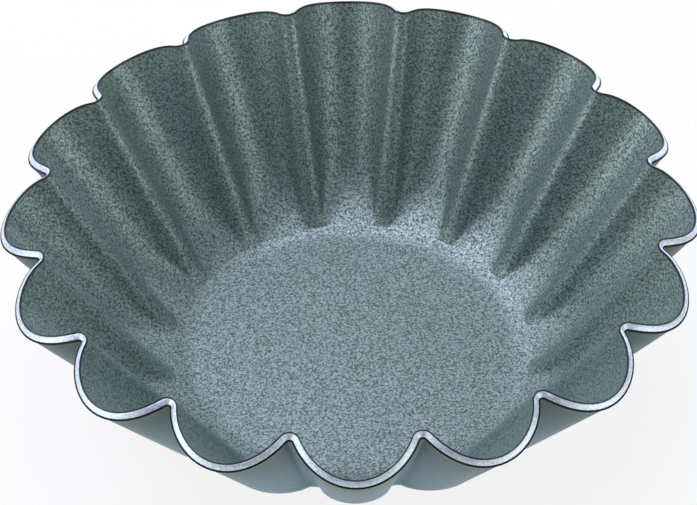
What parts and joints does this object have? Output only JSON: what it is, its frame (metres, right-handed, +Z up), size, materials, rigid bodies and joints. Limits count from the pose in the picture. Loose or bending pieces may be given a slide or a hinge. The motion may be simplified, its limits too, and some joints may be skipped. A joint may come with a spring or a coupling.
{
  "type": "fluted tart pan",
  "caption": "Small round tart pan pressed from one steel sheet, with a flat base that curls up to a round crease, a flared fluted wall, non-stick films and a bare scalloped rim, for baking tartlets and brioche.",
  "frame": {"origin": "centre of the flat underside, on the surface that the pan stands on", "axes": "+Z up along the pan's axis, towards the open mouth; +X through the crown of a flute"},
  "size_m": [0.0796, 0.0796, 0.0241],
  "materials": {
    "bare_steel": "bare sheared edge of the sheet, bright",
    "nonstick_lining": "grey-green speckled non-stick film, satin",
    "outside_coat": "grey-green coat, smoother than the lining, satin"
  },
  "bodies": {
    "root": {"steel_shell": "bare_steel", "inner_coat": "nonstick_lining", "outer_coat": "outside_coat"}
  },
  "joints": []
}
